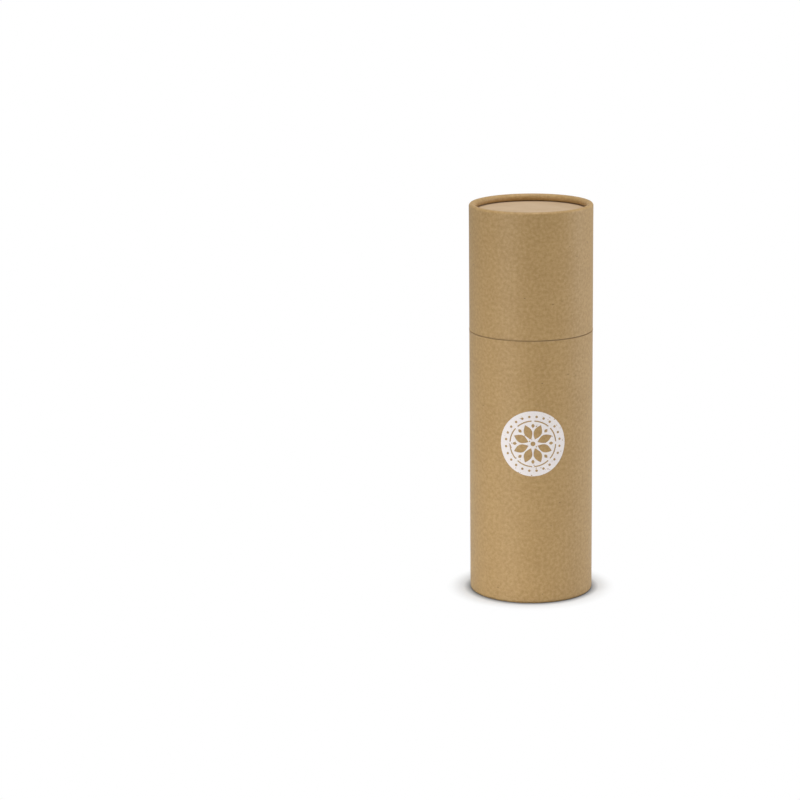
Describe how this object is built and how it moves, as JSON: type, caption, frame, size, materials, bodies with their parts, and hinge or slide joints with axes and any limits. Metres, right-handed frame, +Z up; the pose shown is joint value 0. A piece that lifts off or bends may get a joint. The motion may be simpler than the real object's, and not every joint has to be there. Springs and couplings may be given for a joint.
{
  "type": "gift tube",
  "caption": "Round kraft paperboard gift tube: a tall body with an inner neck and curled foot, and a telescoping lid with a curled, recessed top.",
  "frame": {"origin": "on the tube's axis at the floor, in the plane of the foot rim that it stands on", "axes": "+Z up the tube's axis from foot to lid, -Y out through the middle of the printed emblem"},
  "size_m": [0.088, 0.0882, 0.281],
  "materials": {
    "kraft_paper": "matte",
    "neck_paper": "matte",
    "disc_board": "matte",
    "white_ink": "matte"
  },
  "bodies": {
    "base": {"body_sleeve": "kraft_paper", "base_disc": "disc_board", "neck_tube": "neck_paper", "printed_emblem": "white_ink"},
    "lid": {"lid_sleeve": "kraft_paper", "lid_disc": "disc_board"}
  },
  "joints": [
    {"name": "lid_slide", "type": "slide", "parent": "base", "child": "lid", "axis": [0, 0, 1], "range_m": [0, 0.09]}
  ]
}
